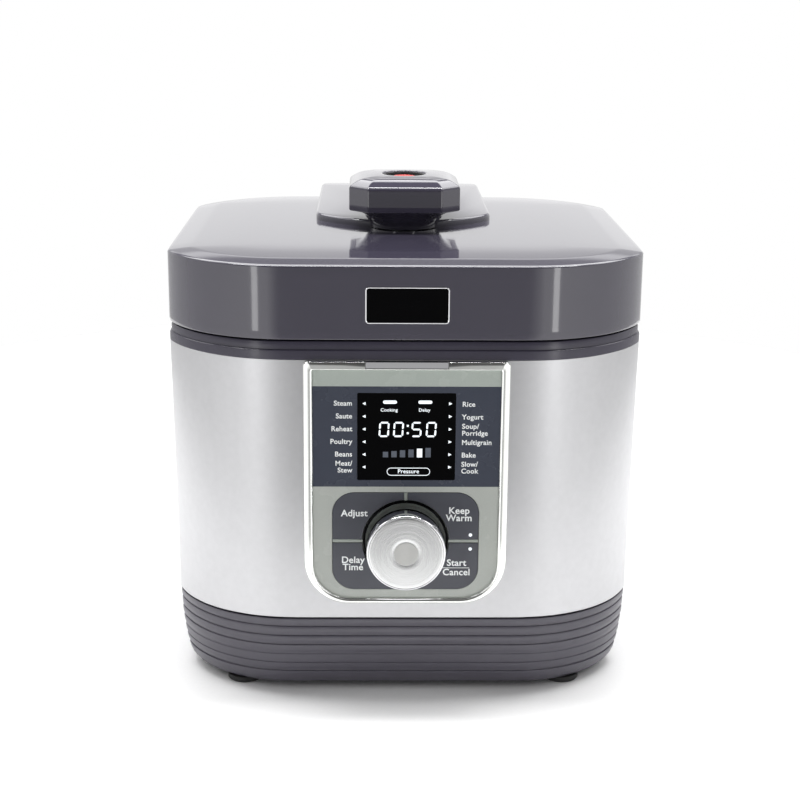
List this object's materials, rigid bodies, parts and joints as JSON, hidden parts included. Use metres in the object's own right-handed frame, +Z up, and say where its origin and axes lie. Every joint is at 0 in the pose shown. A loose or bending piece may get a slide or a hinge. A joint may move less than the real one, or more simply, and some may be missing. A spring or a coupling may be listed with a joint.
{
  "type": "electric pressure cooker",
  "caption": "Electric pressure cooker with a soft square body, hinged lid with a turn-to-lock handle, front display panel and a round control knob.",
  "frame": {"origin": "on the surface the feet stand on, under the middle of the body", "axes": "+X to the right seen from the front, +Y to the back (hinge side), +Z up"},
  "size_m": [0.32, 0.362, 0.3386],
  "materials": {
    "dark_gloss": "glossy moulded plastic, dark grey with a violet cast",
    "dark_satin": "satin moulded plastic, dark grey",
    "brushed_wrap": "vertical-sided steel wrap, fine satin brush",
    "stainless": "satin stainless steel",
    "zinc_steel": "zinc-plated sheet",
    "aluminium": "spun, fine circular lines",
    "chrome": "polished chrome plate",
    "frame_silver": "satin ivory-silver plate",
    "film": "printed glossy film",
    "key_slate": "glossy slate plastic",
    "black_gloss": "piano black",
    "light_plastic": "light grey moulded plastic",
    "black_plastic": "black moulded plastic",
    "rubber": "black rubber",
    "silicone": "translucent white silicone",
    "nonstick": "dark non-stick coating inside an aluminium pot",
    "red_plastic": "red plastic cap",
    "board": "green circuit board",
    "components": "black electronic parts",
    "clear_cup": "smoky clear plastic",
    "brass": "nickel-free brass"
  },
  "bodies": {
    "base": {"feet": "rubber", "base_shell": "dark_satin", "bottom_cover": "black_plastic", "bottom_screws": "zinc_steel", "body_skin": "brushed_wrap", "upper_ring": "dark_satin", "inner_pot": "nonstick", "pressure_pot": "stainless", "heat_shield": "zinc_steel", "heating_plate": "aluminium", "heater_supports": "zinc_steel", "safety_switches": "components", "power_board": "board", "board_components": "components", "board_posts": "light_plastic", "power_inlet": "black_plastic", "inlet_pins": "brass", "panel_frame": "frame_silver", "panel_film": "film", "screen_lens": "black_gloss", "panel_carrier": "light_plastic", "knob_ring": "black_gloss", "display_board": "board", "encoder": "zinc_steel", "latch_bracket": "zinc_steel", "hinge_arms": "zinc_steel", "hinge_pin": "zinc_steel", "hinge_springs": "zinc_steel", "cup_holder": "dark_satin", "drain_pipe": "black_plastic", "sensor_spring": "zinc_steel"},
    "lid": {"lid_shell": "dark_gloss", "window_bezel": "chrome", "window_pane": "black_gloss", "lid_lining": "black_plastic", "lid_bridge": "zinc_steel", "inner_lid": "stainless", "gasket": "silicone", "centre_post": "stainless", "anti_block_cap": "stainless", "hinge_cover": "dark_gloss", "lid_hinge_plate": "zinc_steel"},
    "turn_handle": {"handle_grip": "dark_gloss", "handle_neck": "dark_gloss", "handle_insert": "black_plastic", "drive_spider": "zinc_steel", "lock_ring": "stainless"},
    "float_indicator": {"float_valve": "red_plastic"},
    "pressure_weight": {"pressure_valve": "stainless"},
    "control_knob": {"knob_skirt": "chrome", "knob_face": "aluminium", "encoder_shaft": "zinc_steel"},
    "release_button": {"release_key": "chrome"},
    "latch": {"latch_lever": "zinc_steel"},
    "sensor": {"temperature_sensor": "aluminium"},
    "water_cup": {"condensate_cup": "clear_cup"},
    "button_top_left": {"key_top_left": "key_slate"},
    "button_top_right": {"key_top_right": "key_slate"},
    "button_bottom_left": {"key_bottom_left": "key_slate"},
    "button_bottom_right": {"key_bottom_right": "key_slate"}
  },
  "joints": [
    {"name": "lid_hinge", "type": "hinge", "parent": "base", "child": "lid", "pos_m": [0, 0.166, 0.242], "axis": [-1, 0, 0], "range_deg": [0, 85]},
    {"name": "handle_turn", "type": "hinge", "parent": "lid", "child": "turn_handle", "pos_m": [0, -0.012, 0.3], "axis": [0, 0, 1], "range_deg": [0, 30]},
    {"name": "float_rise", "type": "slide", "parent": "lid", "child": "float_indicator", "axis": [0, 0, 1], "range_m": [0, 0.0035]},
    {"name": "pressure_weight_lift", "type": "slide", "parent": "lid", "child": "pressure_weight", "axis": [0, 0, 1], "range_m": [0, 0.003]},
    {"name": "control_knob_turn", "type": "hinge", "parent": "base", "child": "control_knob", "pos_m": [0, -0.17, 0.1124], "axis": [0, 1, 0], "continuous": true},
    {"name": "release_press", "type": "slide", "parent": "base", "child": "release_button", "axis": [0, 1, 0], "range_m": [0, 0.002], "stiffness_N_per_m": 600, "springref_m": -0.002},
    {"name": "latch_swing", "type": "hinge", "parent": "base", "child": "latch", "pos_m": [0, -0.1414, 0.19], "axis": [-1, 0, 0], "range_deg": [0, 2.65]},
    {"name": "sensor_press", "type": "slide", "parent": "base", "child": "sensor", "axis": [0, 0, -1], "range_m": [0, 0.002], "stiffness_N_per_m": 900, "springref_m": -0.002, "deforming": ["sensor_spring"]},
    {"name": "water_cup_slide", "type": "slide", "parent": "base", "child": "water_cup", "axis": [0, 0, -1], "range_m": [0, 0.045]},
    {"name": "button_top_left_press", "type": "slide", "parent": "base", "child": "button_top_left", "axis": [0, 1, 0], "range_m": [0, 0.00035], "stiffness_N_per_m": 1500, "springref_m": -0.0004},
    {"name": "button_top_right_press", "type": "slide", "parent": "base", "child": "button_top_right", "axis": [0, 1, 0], "range_m": [0, 0.00035], "stiffness_N_per_m": 1500, "springref_m": -0.0004},
    {"name": "button_bottom_left_press", "type": "slide", "parent": "base", "child": "button_bottom_left", "axis": [0, 1, 0], "range_m": [0, 0.00035], "stiffness_N_per_m": 1500, "springref_m": -0.0004},
    {"name": "button_bottom_right_press", "type": "slide", "parent": "base", "child": "button_bottom_right", "axis": [0, 1, 0], "range_m": [0, 0.00035], "stiffness_N_per_m": 1500, "springref_m": -0.0004}
  ],
  "couplings": [
    {"joint": "latch_swing", "follows": "release_press", "rad_per_m": 23.148}
  ]
}
